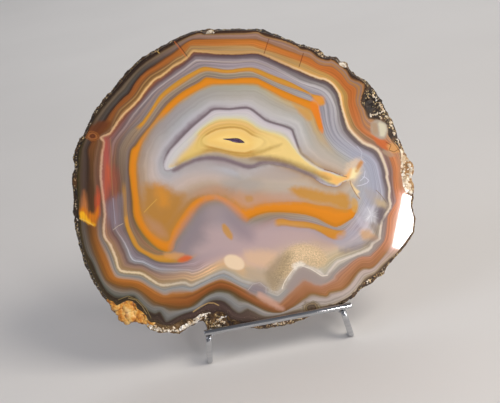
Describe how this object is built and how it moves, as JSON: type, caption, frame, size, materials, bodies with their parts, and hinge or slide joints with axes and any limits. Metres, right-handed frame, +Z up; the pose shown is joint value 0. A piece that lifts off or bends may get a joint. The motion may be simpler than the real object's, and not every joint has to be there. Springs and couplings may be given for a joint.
{
  "type": "agate slice on stand",
  "caption": "Polished slice of banded agate with a rough natural rim, leaning back on a small polished metal stand for display.",
  "frame": {"origin": "on the surface that the stand stands on, under the middle of the whole object's box", "axes": "+X to the right along the stand's front bar, seen from the polished face; +Y to the back; +Z up"},
  "size_m": [0.1738, 0.0802, 0.1553],
  "materials": {
    "agate": "polished faces, rough dark rim",
    "stand_metal": "polished"
  },
  "bodies": {
    "root": {"agate_slice": "agate", "front_bar": "stand_metal", "front_leg_left": "stand_metal", "front_leg_right": "stand_metal", "back_rest_left": "stand_metal", "back_rest_right": "stand_metal", "rear_leg_left": "stand_metal", "rear_leg_right": "stand_metal", "rear_bar": "stand_metal"}
  },
  "joints": []
}
